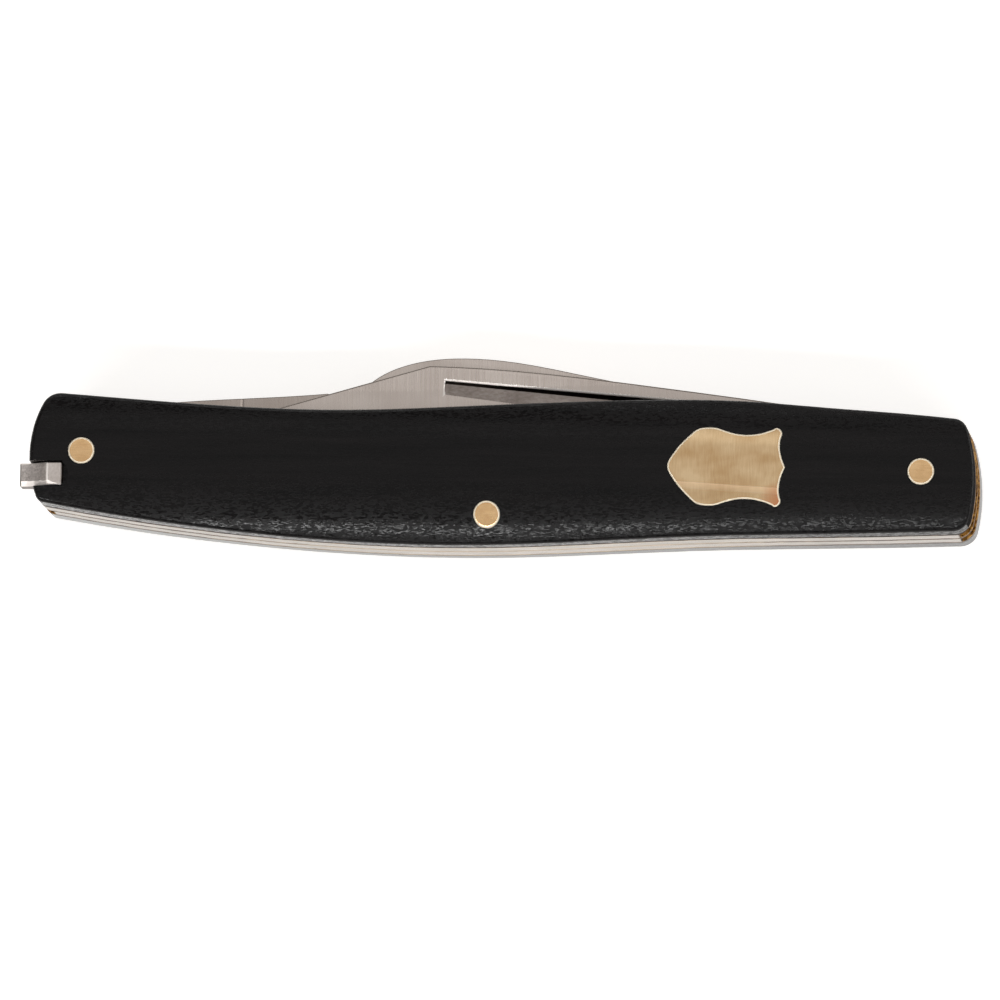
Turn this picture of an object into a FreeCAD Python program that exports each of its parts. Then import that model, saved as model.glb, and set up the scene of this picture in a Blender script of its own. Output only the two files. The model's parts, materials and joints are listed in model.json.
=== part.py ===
"""Folding stock knife: three blades on two back springs, between brass liners and black scales.

Millimetres. X runs along the handle, with the main blade's pivot at +X. Y points to the blade
side and Z through the thickness. The knife lies on its rear scale, whose flat strip is Z = 0.
"""

import math
import os

import FreeCAD
import Part

V = FreeCAD.Vector
UP = V(0, 0, 1)
os.makedirs("parts", exist_ok=True)

# Layers, from the rear scale to the front one
SCALE_T = 3.4
LINER_T = 0.6
LAYER_T = 2.2
CENTRE_T = 0.5

# Pins: the two blade pivots, and the one that holds both springs
PIN_R = 1.42
MAIN = V(42.75, -0.2, 0)
SMALL_Y = 2.0
MIDDLE_Y = -4.6
MIDDLE_SHARE = 0.4847

# Fits
SIDE_GAP = 0.03
RUN_GAP = 0.03
SPRING_GAP = 0.02
NEST_GAP = 0.1
PICK_GAP = 0.08

# Handle: the block past the main blade's point, the ends' reach past the pivots, the scales' section
END_BLOCK = 6.35
END_REACH = 5.4
CROWN_FLAT = 4.4
CROWN_R = 14.0
EDGE_R = 0.45

# Slip joint, the same at each pivot
TANG_FLAT = 3.7
TANG_ROUND = 1.3
KICK_REACH = 7.0
CHOIL = 2.0
NOSE_REACH = 3.7
NOSE_EASE = 0.6
BOSS_WALL = 1.0
BOSS_REACH = 6.0

# Blades, from their own pivots
CLIP_LENGTH = 77.0
CLIP_RUN = 25.85
SHEEP_LENGTH = 61.2
SHEEP_THICK_TO = 13.0
PEN_LENGTH = 46.5
PEN_MARK_AT = 15.8
PEN_MARK_HALF = 0.2
PEN_MARK_DEPTH = 0.1
TIP_ROOM = 3.3
NEST_ROOM = 0.7
EDGE_T = 0.2
PLUNGE_R = 1.6
STEP_R = 0.6
NICK_DEPTH = 0.4
NICK_WALL = 1.2
PULL_HEIGHT = 1.5
PULL_DEPTH = 0.3
PULL_SWELL = 2.0

# Shield let into the front scale
SHIELD_TIP = V(16.7, 0.38, 0)
SHIELD_LENGTH = 12.1
SHIELD_HALF = 4.06
SHIELD_T = 1.0
SHIELD_TILT = -0.8
SHIELD_PIN_R = 0.6

# Splinter pick, in a channel on the inner side of the front scale
HEAD_LENGTH = 4.5
HEAD_WIDTH = 2.45
HEAD_OVERHANG = 1.1
HEAD_BELOW_CROWN = 0.35
HEAD_EASE = 0.15
HEAD_RISE = 0.4
BEVEL_WIDTH = 0.6
BEVEL_DEPTH = 0.22
SHANK_LENGTH = 40.0
SHANK_WIDTH = 1.5
SHANK_T = 1.1
SHANK_WALL = 0.5
SCOOP_R = 4.3
SCOOP_DEPTH = 1.15
NAIL_RELIEF = 0.6
RELIEF_DEPTH = 0.6

# Levels and places that follow from the sizes above
Z_REAR_LINER = SCALE_T
Z_REAR_LAYER = Z_REAR_LINER + LINER_T
Z_CENTRE = Z_REAR_LAYER + LAYER_T
Z_FRONT_LAYER = Z_CENTRE + CENTRE_T
Z_FRONT_LINER = Z_FRONT_LAYER + LAYER_T
Z_FRONT_SCALE = Z_FRONT_LINER + LINER_T
Z_TOP = Z_FRONT_SCALE + SCALE_T
SHIELD_FLOOR = Z_TOP - SHIELD_T
DEAD_END_X = MAIN.x - CLIP_LENGTH - TIP_ROOM
SMALL = V(DEAD_END_X - END_BLOCK, SMALL_Y, 0)
PEN_THICK_TO = MAIN.x - SHEEP_LENGTH - NEST_ROOM - SMALL.x
SHANK_Y = SMALL.y - PIN_R - SHANK_WALL - PICK_GAP - SHANK_WIDTH / 2
HEAD_Y = SHANK_Y + HEAD_RISE
HEAD_LEFT = SMALL.x - END_REACH - HEAD_OVERHANG
HEAD_RIGHT = HEAD_LEFT + HEAD_LENGTH
HEAD_TOP = Z_TOP - HEAD_BELOW_CROWN
SCOOP_RIM = HEAD_LEFT + math.sqrt(SCOOP_R**2 - (SCOOP_R - SCOOP_DEPTH) ** 2)
PICK_FLOOR = Z_FRONT_SCALE + PICK_GAP
THROUGH = Z_TOP + 2.0


def along(share):
    """The X at a share of the way from the small pivot to the main one."""
    return SMALL.x + share * (MAIN.x - SMALL.x)


MIDDLE = V(along(MIDDLE_SHARE), MIDDLE_Y, 0)


def curve(points, start=None, end=None):
    """A smooth curve through the points, with its end directions if they are given."""
    spline = Part.BSplineCurve()
    places = [V(x, y, 0) for x, y in points]
    if start:
        spline.interpolate(Points=places, InitialTangent=V(*start, 0), FinalTangent=V(*end, 0))
    else:
        spline.interpolate(Points=places)
    return spline.toShape()


def chain(points):
    return [Part.makeLine(V(*a, 0), V(*b, 0)) for a, b in zip(points, points[1:])]


def arc(a, b, c):
    return Part.Arc(V(*a, 0), V(*b, 0), V(*c, 0)).toShape()


def plate(edges, z, thickness):
    """A flat plate of a closed outline, from z upwards."""
    face = Part.Face(Part.Wire(Part.__sortEdges__(edges)))
    solid = face.extrude(UP * thickness)
    solid.translate(UP * z)
    return solid


def rod(centre, radius, z, height):
    return Part.makeCylinder(radius, height, V(centre.x, centre.y, z))


def bored(solid, centres, radius=PIN_R):
    for centre in centres:
        solid = solid.cut(rod(centre, radius, -1.0, THROUGH))
    return solid


def round_upright(solid, radius, places):
    """Round the upright edges that stand at the given places."""
    edges = []
    for edge in solid.Edges:
        a, b = edge.firstVertex().Point, edge.lastVertex().Point
        upright = math.hypot(a.x - b.x, a.y - b.y) < 1e-6
        if upright and any(math.hypot(a.x - x, a.y - y) < 1e-3 for x, y in places):
            edges.append(edge)
    return solid.makeFillet(radius, edges)


# The handle's outline: a dipped blade side, a full-bellied back and two bowed ends
TOP_LEFT, LOW_LEFT = (SMALL.x - END_REACH + 2.0, 8.2), (SMALL.x - END_REACH + 0.9, -3.2)
TOP_RIGHT, LOW_RIGHT = (MAIN.x + END_REACH - 1.05, 5.25), (MAIN.x + END_REACH - 0.75, -6.2)
LEFT_BOW, RIGHT_BOW = (SMALL.x - END_REACH, 1.9), (MAIN.x + END_REACH, -0.3)
DIP = [(0.083, 7.3), (0.31, 6.3), (0.46, 6.7), (0.666, 7.35), (0.795, 7.2), (0.899, 6.45), (0.965, 6.0)]
BELLY = [(0.899, -6.5), (0.734, -6.75), (0.472, -7.6), (0.207, -6.45), (0.068, -4.95)]
CORNERS = [(TOP_LEFT, 2.0), (TOP_RIGHT, 1.5), (LOW_RIGHT, 1.8), (LOW_LEFT, 1.0)]


def handle_plate(z, thickness):
    """A plate with the handle's outline: the liners as they are, the scales and springs as blanks."""
    dip, belly = ([(along(share), y) for share, y in side] for side in (DIP, BELLY))
    edges = [curve([TOP_LEFT] + dip + [TOP_RIGHT]), curve([LOW_RIGHT] + belly + [LOW_LEFT])]
    edges += [arc(TOP_RIGHT, RIGHT_BOW, LOW_RIGHT), arc(LOW_LEFT, LEFT_BOW, TOP_LEFT)]
    solid = plate(edges, z, thickness)
    for place, radius in CORNERS:
        solid = round_upright(solid, radius, [place])
    return solid


def crown_envelope():
    """The crowned section of the whole handle, drawn along the line through both pivots."""
    half = CROWN_FLAT / 2
    reach = half + min(8.8, 0.95 * CROWN_R)
    bend = [(v, CROWN_R - math.sqrt(CROWN_R**2 - (v - half) ** 2)) for v in (half, (half + reach) / 2, reach)]
    low = bend[-1][1]
    edges = []
    for base, inward in ((Z_TOP, -1), (0.0, 1)):
        edges.append(Part.makeLine(V(0, -half, base), V(0, half, base)))
        for side in (-1, 1):
            edges.append(Part.Arc(*[V(0, side * v, base + inward * d) for v, d in bend]).toShape())
    for side in (-1, 1):
        edges.append(Part.makeLine(V(0, side * reach, low), V(0, side * reach, Z_TOP - low)))
    face = Part.Face(Part.Wire(Part.__sortEdges__(edges)))
    length = 1.5 * (MAIN.x - SMALL.x)
    solid = face.extrude(V(length, 0, 0))
    solid.translate(V(-length / 2, 0, 0))
    solid.rotate(V(0, 0, 0), UP, math.degrees(math.atan2(MAIN.y - SMALL.y, MAIN.x - SMALL.x)))
    solid.translate((MAIN + SMALL) * 0.5)
    return solid


ENVELOPE = crown_envelope()


def scale_blank():
    """The front scale before its cuts: crowned, with its outer edge eased."""
    blank = handle_plate(Z_FRONT_SCALE, SCALE_T).common(ENVELOPE).removeSplitter().Solids[0]
    rim = []
    for edge in blank.Edges:
        tilts = [abs(f.normalAt(0.5, 0.5).z) for f in blank.ancestorsOfType(edge, Part.Face)]
        if max(tilts) > 0.5 and min(tilts) < 0.1 and edge.BoundBox.ZMin > Z_FRONT_SCALE + EDGE_R / 4:
            rim.append(edge)
    return blank.makeFillet(EDGE_R, rim)


def pin(centre):
    """A pin through the whole handle, its ends ground flush with the crown."""
    return rod(centre, PIN_R, -1.0, THROUGH).common(ENVELOPE).Solids[0]


def shield_edges():
    """A crest with a blunt point, two bulges, a waist on each side and two ears."""
    bulge = [(0, 0), (0.029, 0.235), (0.1, 0.53), (0.2, 0.83), (0.36, 1)]
    waist = [bulge[-1], (0.5, 0.9), (0.64, 0.82), (0.8, 0.87), (0.91, 1)]
    ear = [waist[-1], (0.953, 0.96), (0.968, 0.83)]
    end = [ear[-1], (0.951, 0.58), (0.959, 0.35), (1, 0)]
    edges = []
    for side in (1, -1):
        parts = []
        for shares in (bulge, waist, ear, end):
            parts.append([(SHIELD_LENGTH * x, side * SHIELD_HALF * y) for x, y in shares])
        edges.append(curve(parts[0], (0, side), (1, 0)))
        edges.append(curve(parts[1], (1, 0), (0.8, 0.6 * side)))
        edges.append(curve(parts[2], (0.8, 0.6 * side), (-0.2, -side)))
        edges.append(curve(parts[3]))
    for edge in edges:
        edge.rotate(V(0, 0, 0), UP, SHIELD_TILT)
        edge.translate(SHIELD_TIP)
    return edges


def shield_block():
    return plate(shield_edges(), SHIELD_FLOOR, SHIELD_T + 1.0)


def shield_pins():
    """The two pins on the shield's back, which reach through the scale to the liner."""
    places = [SHIELD_TIP + V(SHIELD_LENGTH * share, 0, 0) for share in (0.25, 0.75)]
    return [rod(place, SHIELD_PIN_R, Z_FRONT_SCALE, SHIELD_FLOOR - Z_FRONT_SCALE) for place in places]


def head_bevel():
    """What is ground off along the scoop's lower side: a bevel that runs out towards the shank."""
    low = HEAD_Y - HEAD_WIDTH / 2
    clear, over = BEVEL_WIDTH / 2, BEVEL_DEPTH / 2
    rim = SCOOP_RIM - HEAD_LEFT
    stations = [(HEAD_LEFT - 1, SCOOP_DEPTH, 1)]
    for part in (0.0, 0.25, 0.5, 0.75, 1.0):
        fall = math.sqrt(SCOOP_R**2 - (part * rim) ** 2) - (SCOOP_R - SCOOP_DEPTH)
        stations.append((HEAD_LEFT + part * rim, fall, 1))
    stations.append((HEAD_RIGHT, 0, 0))
    sections = []
    for x, fall, share in stations:
        top = HEAD_TOP - fall
        corners = [
            V(x, low + share * BEVEL_WIDTH + clear, top + over),
            V(x, low - clear, top - share * BEVEL_DEPTH - over),
            V(x, low - clear, top + 2 * SCOOP_DEPTH),
        ]
        sections.append(Part.makePolygon(corners + corners[:1]))
    return Part.makeLoft(sections, True, True)


def splinter_pick():
    """A pointed steel shank with a block for a head, scooped out for the thumbnail."""
    corner = V(HEAD_LEFT, HEAD_Y - HEAD_WIDTH / 2, PICK_FLOOR)
    head = Part.makeBox(HEAD_LENGTH, HEAD_WIDTH, HEAD_TOP - PICK_FLOOR, corner)
    head = head.makeFillet(HEAD_EASE, head.Edges)
    axis = V(HEAD_LEFT, HEAD_Y - HEAD_WIDTH, HEAD_TOP + SCOOP_R - SCOOP_DEPTH)
    head = head.cut([Part.makeCylinder(SCOOP_R, 2 * HEAD_WIDTH, axis, V(0, 1, 0)), head_bevel()])
    low, high = SHANK_Y - SHANK_WIDTH / 2, SHANK_Y + SHANK_WIDTH / 2
    root, tip = HEAD_RIGHT - HEAD_EASE - 0.5, HEAD_RIGHT + SHANK_LENGTH
    taper = tip - SHANK_LENGTH / 3
    outline = [(root, low), (taper, low), (tip, SHANK_Y), (taper, high), (root, high), (root, low)]
    return head.fuse(plate(chain(outline), PICK_FLOOR, SHANK_T)).removeSplitter().Solids[0]


def pick_room():
    """What the pick takes out of the front scale: a notch, a channel and a nail relief."""
    wide = HEAD_WIDTH + 2 * PICK_GAP
    end = HEAD_RIGHT + PICK_GAP
    long = 3 * HEAD_LENGTH
    notch = Part.makeBox(long, wide, THROUGH, V(end - long, HEAD_Y - wide / 2, Z_FRONT_SCALE - 1))
    narrow = SHANK_WIDTH + 2 * PICK_GAP
    deep = SHANK_T + 2 * PICK_GAP
    start = V(end - 0.5, SHANK_Y - narrow / 2, Z_FRONT_SCALE - 1)
    channel = Part.makeBox(SHANK_LENGTH + 0.5 + PICK_GAP, narrow, deep + 1, start)
    relief_r = wide / 2
    relief = rod(V(end + NAIL_RELIEF - relief_r, HEAD_Y, 0), relief_r, HEAD_TOP - RELIEF_DEPTH, SCALE_T)
    return notch.fuse([channel, relief])


class Side:
    """One pivot's own (u, v): u runs from the pivot to a blade's point, v to its spine."""

    def __init__(self, pivot, sign):
        self.pivot = pivot
        self.sign = sign

    def at(self, u, v):
        return (self.pivot.x + self.sign * u, self.pivot.y + v)

    def points(self, pairs):
        return [self.at(u, v) for u, v in pairs]

    def place(self, u, v, z):
        return V(*self.at(u, v), z)


RIGHT = Side(MAIN, -1)
LEFT = Side(SMALL, 1)
SHOULDER = NOSE_REACH + SPRING_GAP
HEEL = KICK_REACH + CHOIL + 0.4


def blade_blank(side, spine, edge, z):
    """A blade at its full thickness, with its slip-joint tang.

    The spine and the edge are lists of curves, both running out to the point. The tang goes from
    the choil over the kick and round the square end to the shoulder that stops on the spring.
    """
    top, heel = spine[0][0], edge[0][0]
    choil = (heel[0] - CHOIL, heel[1])
    flat = TANG_FLAT
    tang = [choil, (KICK_REACH, -flat), (-flat, -flat), (-flat, flat), (top[0], flat), top]
    edges = chain(side.points(tang))
    edges += [curve(side.points(points)) for points in spine + edge]
    edges.append(arc(*side.points([heel, (heel[0] - CHOIL / 2, heel[1] + 0.45 * CHOIL), choil])))
    solid = plate(edges, z + SIDE_GAP, LAYER_T - 2 * SIDE_GAP)
    solid = round_upright(solid, TANG_ROUND, side.points([(-flat, -flat), (-flat, flat)]))
    return bored(solid, [side.pivot], PIN_R + RUN_GAP)


class Grind:
    """A ground face: its chord along the spine, and how fast it falls towards the edge."""

    def __init__(self, side, chord, z, outward, half, depth):
        height, rise = chord
        self.start = side.place(0, height, z)
        self.s = (side.place(1, height + rise, z) - self.start).normalize()
        self.t = V(self.s.y, -self.s.x, 0) * side.sign
        self.n = UP * outward
        self.fall = (half - EDGE_T / 2) / depth

    def prism(self, section, s0, s1):
        """A prism along the chord. The section's (t, n) run down the blade and out of it."""
        corners = [self.start + self.s * s0 + self.t * t + self.n * n for t, n in section]
        return Part.Face(Part.makePolygon(corners + corners[:1])).extrude(self.s * (s1 - s0))

    def cutter(self, plunge):
        """What the wheel takes off: a wedge that starts with the wheel's own radius."""
        section = [(0, 0), (30, -30 * self.fall), (30, 4), (0, 4)]
        wedge = self.prism(section, plunge, 2 * CLIP_LENGTH)
        foot = []
        for edge in wedge.Edges:
            ends = [vertex.Point - self.start for vertex in edge.Vertexes]
            if all(abs(p.dot(self.s) - plunge) < 1e-6 and p.dot(self.n) < 1e-6 for p in ends):
                foot.append(edge)
        return wedge.makeFillet(PLUNGE_R, foot)

    def nick(self, drop, height, depth, s0, s1, swell=1):
        """A nail nick: a sloping wall towards the spine, and a floor that runs out below it.

        It is lofted, because a long pull swells towards the tang.
        """
        sections = []
        for s, size in ((s0, swell), (s1, 1)):
            deep, foot, lip = depth * size, drop + NICK_WALL * depth * size, drop + height * size
            outline = [(drop - NICK_WALL, 1 - drop * self.fall), (foot, -deep - drop * self.fall)]
            outline += [(lip, -lip * self.fall), (lip + 0.2, 1)]
            corners = [self.start + self.s * s + self.t * t + self.n * n for t, n in outline]
            sections.append(Part.makePolygon(corners + corners[:1]))
        return Part.makeLoft(sections, True, True)


def clip_blade():
    """The main blade: a straight clip, a full belly and a long pull on its front face."""
    z = Z_FRONT_LAYER
    point = (CLIP_LENGTH, 4.45)
    corner = (CLIP_LENGTH - CLIP_RUN, 11.58)
    belly = (CLIP_LENGTH - 33.0, -1.45)
    back = [(share * corner[0], v) for share, v in ((0.293, 7.65), (0.577, 9.62), (0.821, 11.05))]
    spine = [[(SHOULDER, 6.0)] + back + [corner], [corner, point]]
    curved = [belly, (CLIP_LENGTH - 23.0, -1.15), (CLIP_LENGTH - 13.0, -0.2), (CLIP_LENGTH - 5.0, 1.8), point]
    edge = [[(HEEL, -2.4), belly], curved]
    half = LAYER_T / 2 - SIDE_GAP
    chord = (7.05, (corner[1] - 7.05) / corner[0])
    front = Grind(RIGHT, chord, z + LAYER_T - SIDE_GAP, 1, half, 12.2)
    rear = Grind(RIGHT, chord, z + SIDE_GAP, -1, half, 12.2)
    pull = front.nick(1.3, PULL_HEIGHT, PULL_DEPTH, 17.0, corner[0] - 1.55, PULL_SWELL)
    cuts = [front.cutter(SHEEP_THICK_TO), rear.cutter(SHEEP_THICK_TO), pull]
    return blade_blank(RIGHT, spine, edge, z).cut(cuts).Solids[0]


NEST_T = (LAYER_T - NEST_GAP) / 2
NEST_HALF = (NEST_T - SIDE_GAP) / 2


def thinner(side, thick_to, z, height, level):
    """Cuts a small blade down to its half of the rear layer, beyond its thick part."""
    start = side.at(thick_to, 0)[0]
    reach = 2 * CLIP_LENGTH
    box = Part.makeBox(reach, reach, height, V(min(start, start + side.sign * reach), -reach / 2, z))
    foot = []
    for edge in box.Edges:
        if all(abs(v.X - start) < 1e-6 and abs(v.Z - level) < 1e-6 for v in edge.Vertexes):
            foot.append(edge)
    return box.makeFillet(STEP_R, foot)


def sheepfoot_blade():
    """The blade behind the main one: a straight edge, and a spine that rolls down to the point."""
    z = Z_REAR_LAYER
    point = (SHEEP_LENGTH, 1.2)
    roll = [(19.0, 12.3), (13.2, 12.78), (7.3, 12.05), (4.0, 10.5), (0.9, 6.6)]
    nose = [(SHEEP_LENGTH - back, v) for back, v in roll]
    spine = [[(SHOULDER, 5.9), (18.0, 7.85), (34.8, 10.85)] + nose + [point]]
    edge = [[(HEEL, -2.3), point]]
    level = z + LAYER_T - NEST_T
    front = Grind(RIGHT, (6.6, 0.12), z + LAYER_T - SIDE_GAP, 1, NEST_HALF, 12.1)
    rear = Grind(RIGHT, (6.6, 0.12), level, -1, NEST_HALF, 12.1)
    plunge = SHEEP_THICK_TO + 2 * STEP_R
    cuts = [front.cutter(plunge), rear.cutter(plunge)]
    cuts.append(thinner(RIGHT, SHEEP_THICK_TO, z - 1, level - z + 1, level))
    cuts.append(rear.nick(0.9, 1.2, NICK_DEPTH, SHEEP_LENGTH - 18.7, SHEEP_LENGTH - 8.2))
    return blade_blank(RIGHT, spine, edge, z).cut(cuts).Solids[0]


def pen_blade():
    """The small blade at the other end, with a fine groove across its ricasso."""
    z = Z_REAR_LAYER
    point = (PEN_LENGTH, 2.8)
    belly = (PEN_LENGTH - 18.5, -1.7)
    drop = [(PEN_LENGTH - 14.5, 7.3), (PEN_LENGTH - 6.5, 6.0), point]
    spine = [[(SHOULDER, 5.6), (10.7, 6.15), (23.6, 6.83)] + drop]
    edge = [[(HEEL, -2.3), belly], [belly, (PEN_LENGTH - 8.5, -0.9), (PEN_LENGTH - 3.0, 0.7), point]]
    level = z + NEST_T
    front = Grind(LEFT, (6.0, 0.05), level, 1, NEST_HALF, 9.1)
    rear = Grind(LEFT, (6.0, 0.05), z + SIDE_GAP, -1, NEST_HALF, 9.1)
    plunge = PEN_THICK_TO + 2 * STEP_R
    cuts = [thinner(LEFT, PEN_THICK_TO, level, LAYER_T, level), front.cutter(plunge), rear.cutter(plunge)]
    cuts.append(rear.nick(1.0, 1.1, NICK_DEPTH, PEN_LENGTH - 20.5, PEN_LENGTH - 10.5))
    ricasso = z + LAYER_T - SIDE_GAP
    wide, deep = 2 * PEN_MARK_HALF, PEN_MARK_DEPTH
    section = ((-wide, deep), (0, -deep), (wide, deep))
    groove = [LEFT.place(PEN_MARK_AT + u, -10, ricasso + n) for u, n in section]
    cuts.append(Part.Face(Part.makePolygon(groove + groove[:1])).extrude(V(0, 30, 0)))
    return blade_blank(LEFT, spine, edge, z).cut(cuts).Solids[0]


def back_spring(z, inner, closing):
    """A spring flush with the handle's back, thick round its pin, its nose bearing on the main tang."""
    bear = MAIN.y - TANG_FLAT - SPRING_GAP
    boss = MIDDLE.y + PIN_R + BOSS_WALL
    nose = MAIN.x + NOSE_REACH
    run = [(MAIN.x - KICK_REACH - NOSE_EASE, bear), (along(0.726), bear - 0.1)]
    run += [(MIDDLE.x + BOSS_REACH, boss - 0.4), (MIDDLE.x, boss), (MIDDLE.x - BOSS_REACH, boss - 0.3)]
    run.append((along(0.264), boss - 1.3))
    edges = chain([(nose, -20), (nose, bear), run[0]])
    edges.append(curve(run + inner, (-1, 0), (closing[0][0] - inner[-1][0], closing[0][1] - inner[-1][1])))
    edges += chain([inner[-1]] + closing + [(nose, -20)])
    blank = plate(edges, z, LAYER_T).common(handle_plate(z, LAYER_T)).Solids[0]
    return bored(blank, [MIDDLE])


def front_spring():
    """Serves the main blade. Its other end fills the handle's end and is held by the small pivot's pin."""
    inner = [(DEAD_END_X + 6.6, -2.9), (DEAD_END_X + 1.2, -0.6), (DEAD_END_X, 3.0)]
    beyond = SMALL.x - 4 * END_REACH
    closing = [(DEAD_END_X, 20), (beyond, 20), (beyond, -20)]
    return bored(back_spring(Z_FRONT_LAYER, inner, closing), [SMALL])


def rear_spring():
    """Serves the sheepfoot blade at one end and the pen blade at the other."""
    bear = SMALL.y - TANG_FLAT - SPRING_GAP
    nose = SMALL.x - NOSE_REACH
    return back_spring(Z_REAR_LAYER, [(SMALL.x + KICK_REACH + NOSE_EASE, bear)], [(nose, bear), (nose, -20)])


def main():
    pins = [MAIN, SMALL, MIDDLE]
    blank = scale_blank()
    crest_pins = shield_pins()
    front = bored(blank, pins).cut([shield_block(), pick_room()] + crest_pins)
    rear = bored(blank.mirror(V(0, 0, Z_TOP / 2), UP), pins)
    nodes = {
        "front_scale": front.Solids[0],
        "rear_scale": rear.Solids[0],
        "front_liner": bored(handle_plate(Z_FRONT_LINER, LINER_T), pins),
        "centre_liner": bored(handle_plate(Z_CENTRE, CENTRE_T), pins),
        "rear_liner": bored(handle_plate(Z_REAR_LINER, LINER_T), pins),
        "front_spring": front_spring(),
        "rear_spring": rear_spring(),
        "clip_blade": clip_blade(),
        "sheepfoot_blade": sheepfoot_blade(),
        "pen_blade": pen_blade(),
        "main_pivot_pin": pin(MAIN),
        "small_pivot_pin": pin(SMALL),
        "spring_pin": pin(MIDDLE),
        "shield": shield_block().common(ENVELOPE).Solids[0],
        "shield_pins": Part.makeCompound(crest_pins),
        "splinter_pick": splinter_pick(),
    }
    for name, shape in nodes.items():
        print(f"{name}: {len(shape.Solids)} solid, valid {shape.isValid()}, {shape.Volume:.1f} mm3")
        shape.exportStep(f"parts/{name}.step")


main()
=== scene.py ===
# %% [markdown]
# # A folding stock knife, dressed for its portrait
# The knife's pieces come from the imported CAD frame at their real size, in metres: X runs along the
# handle, Y points to the blade side, and the knife lies on its rear scale with Z up. This lesson
# gives each piece its eased edges and its finish. It starts by loading the frame and keeping its
# box, because the dressed knife must not grow out of it. It starts by loading the frame and keeping
# its box, whose lowest point later sets the floor's height.

# %% Load the frame
import json
import math

import bmesh
import bpy
from mathutils import Matrix, Vector


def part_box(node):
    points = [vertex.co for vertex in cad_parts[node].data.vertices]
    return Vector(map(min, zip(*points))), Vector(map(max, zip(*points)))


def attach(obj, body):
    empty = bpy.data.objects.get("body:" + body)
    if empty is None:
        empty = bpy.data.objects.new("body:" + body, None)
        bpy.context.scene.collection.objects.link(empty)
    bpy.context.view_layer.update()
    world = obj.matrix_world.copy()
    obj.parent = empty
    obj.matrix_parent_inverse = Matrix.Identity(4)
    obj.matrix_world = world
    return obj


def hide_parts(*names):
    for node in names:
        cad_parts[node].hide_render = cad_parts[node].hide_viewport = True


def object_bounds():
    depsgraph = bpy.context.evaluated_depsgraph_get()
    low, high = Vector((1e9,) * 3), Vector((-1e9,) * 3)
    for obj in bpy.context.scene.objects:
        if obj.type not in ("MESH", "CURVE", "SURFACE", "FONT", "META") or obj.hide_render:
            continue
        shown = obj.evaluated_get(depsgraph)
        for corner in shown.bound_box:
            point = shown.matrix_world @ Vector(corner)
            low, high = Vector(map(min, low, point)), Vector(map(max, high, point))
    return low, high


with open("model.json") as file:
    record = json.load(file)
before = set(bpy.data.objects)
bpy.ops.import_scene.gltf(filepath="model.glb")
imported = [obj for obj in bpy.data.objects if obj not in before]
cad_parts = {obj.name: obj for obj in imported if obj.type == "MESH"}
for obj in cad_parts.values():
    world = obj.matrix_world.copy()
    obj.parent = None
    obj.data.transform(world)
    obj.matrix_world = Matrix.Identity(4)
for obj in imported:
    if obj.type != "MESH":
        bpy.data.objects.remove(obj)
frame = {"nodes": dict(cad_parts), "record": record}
bpy.context.view_layer.update()
cad_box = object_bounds()
MM = 0.001
body_of = {}
for body, members in frame["record"]["behaviour"]["bodies"].items():
    for member in members:
        body_of[member] = body
slot_of = {part["node"]: part["material_slot"] for part in frame["record"]["subparts"]}

# %% [markdown]
# ## Colours, nodes and objects
# Colours are given as sRGB hex values, but shaders mix light in linear values, so one
# function converts them. Patterns are thought of in millimetres on the real knife, and a Mapping
# node wants repeats per metre, so a second function turns one into the other. A third adds a node,
# and serves shaders and Geometry Nodes alike. Two more start a material and an object.

# %% Helpers for colour, scale, nodes and objects


def linear(colour):
    """An sRGB hex colour as linear red, green, blue and alpha."""
    channels = [int(colour[i:i + 2], 16) / 255 for i in (1, 3, 5)]
    return [c / 12.92 if c <= 0.04045 else ((c + 0.055) / 1.055) ** 2.4 for c in channels] + [1.0]


def repeats(*sizes_mm):
    """How often features of these sizes along X, Y and Z repeat in a metre."""
    return [1 / (size * MM) for size in sizes_mm]


def add(tree, kind, inputs=None, **settings):
    """Adds one node with its settings, and fills each named input with a link or a value."""
    made = tree.nodes.new(kind)
    for name, value in settings.items():
        setattr(made, name, value)
    for name, value in (inputs or {}).items():
        if isinstance(value, bpy.types.NodeSocket):
            tree.links.new(value, made.inputs[name])
        else:
            made.inputs[name].default_value = value
    return made


def start_material(name):
    """An empty material, its node tree and the place on the piece that its patterns read."""
    made = bpy.data.materials.new(name)
    made.use_nodes = True
    made.node_tree.nodes.clear()
    place = add(made.node_tree, "ShaderNodeTexCoord").outputs["Object"]
    return made, made.node_tree, place


def new_object(name, data):
    """An object in the scene that holds this mesh, light or camera."""
    made = bpy.data.objects.new(name, data)
    bpy.context.scene.collection.objects.link(made)
    return made


print("mid grey as linear light:", [round(c, 3) for c in linear("#808080")])

# %% [markdown]
# ## Black wood for the scales
# The scales are a dense black wood, sanded along the grain and oiled. Seen straight on it is nearly
# black. Where the crown rolls towards the light, the sheen breaks up into fine glints, because open
# pores and sanding lines catch the light one by one. A picture of wood would need an image, so the
# grain is made of patterns that are stretched along the handle: long noise for the growth lines,
# short noise for the sanding, and random cells of gloss for the glints. The wood's gloss is weaker
# than a varnish's, which is what the low specular level says. The main pivot's end is handled most,
# so it is a little duller. The grain runs along the handle, so the two ends show end grain, which
# drinks the oil and stays matt.

# %% Black wood
GROWTH_MM = (14, 0.6, 0.6)
# Sanding marks are about 0.03 mm apart and pores 0.05 mm wide, both drawn coarser so that they show
SANDING_MM = (0.5, 0.16, 0.16)
GLINT_MM = (0.36, 0.12, 0.12)
GLINT_FROM, GLINT_TO = 0.3, 0.65
HANDLED_FROM_X, HANDLED_TO_X = 0, 36 * MM
DULLED_BY = 0.12


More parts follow.
